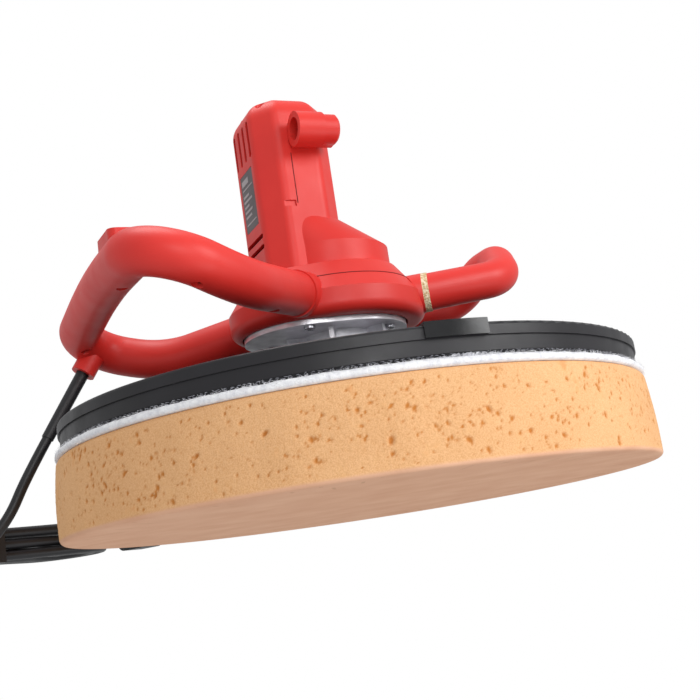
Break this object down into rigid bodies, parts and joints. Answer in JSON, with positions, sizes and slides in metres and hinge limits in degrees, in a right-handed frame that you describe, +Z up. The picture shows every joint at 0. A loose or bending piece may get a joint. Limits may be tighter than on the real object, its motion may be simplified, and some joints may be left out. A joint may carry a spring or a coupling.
{
  "type": "rotary polisher",
  "caption": "Handheld electric wall polisher: large sponge disc on a black plate, red motor body with rear D handle and front bow handle, mains cord in a tied hank.",
  "frame": {"origin": "centre of the sponge's working face", "axes": "+Z up along the spindle from the sponge to the motor, +X towards the front bow handle, -X towards the rear D handle"},
  "size_m": [0.5025, 0.4421, 0.272],
  "materials": {
    "sponge": "open-cell sponge, matt",
    "loop_fabric": "fuzzy loop fabric",
    "hook_fabric": "hook strip",
    "black_plastic": "moulded, satin",
    "clip_black": "glossy",
    "red_plastic": "moulded, satin",
    "cast_aluminium": "as cast",
    "steel": "machined",
    "gear_steel": "cut and oiled",
    "lamination": "stacked sheet",
    "copper": "enamelled wire",
    "carbon": "pressed carbon",
    "fan_plastic": "moulded",
    "rubber": "soft",
    "cord_rubber": "satin",
    "gasket": "cream, textured",
    "nameplate": "blank dark plate",
    "switch_black": "satin",
    "pin_brass": "plated"
  },
  "bodies": {
    "machine": {"belly_lower": "red_plastic", "belly_upper": "red_plastic", "brush_plate": "fan_plastic", "carbon_brush_left": "carbon", "carbon_brush_right": "carbon", "collar": "red_plastic", "cord_hank": "cord_rubber", "cover_screw_1": "steel", "cover_screw_2": "steel", "cover_screw_3": "steel", "cover_screw_4": "steel", "d_handle_lower": "red_plastic", "d_handle_upper": "red_plastic", "dust_seal": "rubber", "field_coil_left": "copper", "field_coil_right": "copper", "front_gasket_far": "gasket", "front_gasket_near": "gasket", "front_handle_lower": "red_plastic", "front_handle_upper": "red_plastic", "gearcase": "cast_aluminium", "gearcase_cover": "cast_aluminium", "hanging_tube": "red_plastic", "hank_tie": "cord_rubber", "mains_cord": "cord_rubber", "motor_bearing_lower": "steel", "motor_bearing_upper": "steel", "motor_bracket": "cast_aluminium", "motor_housing_front": "red_plastic", "motor_housing_rear": "red_plastic", "nameplate": "nameplate", "plug_body": "cord_rubber", "plug_pin_left": "pin_brass", "plug_pin_right": "pin_brass", "spindle_bearing_outer": "steel", "stator_core": "lamination", "strain_relief": "cord_rubber", "switch_body": "switch_black"},
    "disc": {"sponge_pad": "sponge", "loop_layer": "loop_fabric", "hook_layer": "hook_fabric", "backing_plate": "black_plastic", "rim_clip": "clip_black", "plate_hub": "cast_aluminium", "hub_bolt_1": "steel", "hub_bolt_2": "steel", "hub_bolt_3": "steel", "spindle": "steel", "output_gear": "gear_steel", "spindle_bearing_inner": "steel"},
    "second_lay_shaft": {"second_shaft": "gear_steel", "second_gear": "gear_steel"},
    "first_lay_shaft": {"first_shaft": "gear_steel", "first_gear": "gear_steel"},
    "armature": {"armature_shaft": "gear_steel", "armature_core": "lamination", "armature_windings": "copper", "commutator": "copper", "cooling_fan": "fan_plastic"},
    "rocker": {"switch_rocker": "switch_black"}
  },
  "joints": [
    {"name": "spindle_spin", "type": "hinge", "parent": "machine", "child": "disc", "pos_m": [0, 0, 0.094], "axis": [0, 0, 1], "continuous": true},
    {"name": "second_shaft_spin", "type": "hinge", "parent": "machine", "child": "second_lay_shaft", "pos_m": [-0.01191, 0.03291, 0.13], "axis": [0, 0, 1], "continuous": true},
    {"name": "first_shaft_spin", "type": "hinge", "parent": "machine", "child": "first_lay_shaft", "pos_m": [-0.02902, 0.0183, 0.13], "axis": [0, 0, 1], "continuous": true},
    {"name": "armature_spin", "type": "hinge", "parent": "machine", "child": "armature", "pos_m": [-0.022, 0, 0.2], "axis": [0, 0, 1], "continuous": true},
    {"name": "rocker_tilt", "type": "hinge", "parent": "machine", "child": "rocker", "pos_m": [-0.1532, -0.06509, 0.16031], "axis": [-1, 0, 0], "range_deg": [-7, 7]}
  ],
  "couplings": [
    {"joint": "second_shaft_spin", "follows": "spindle_spin", "ratio": -3.6667},
    {"joint": "first_shaft_spin", "follows": "spindle_spin", "ratio": 10.083},
    {"joint": "armature_spin", "follows": "spindle_spin", "ratio": -36.972}
  ]
}
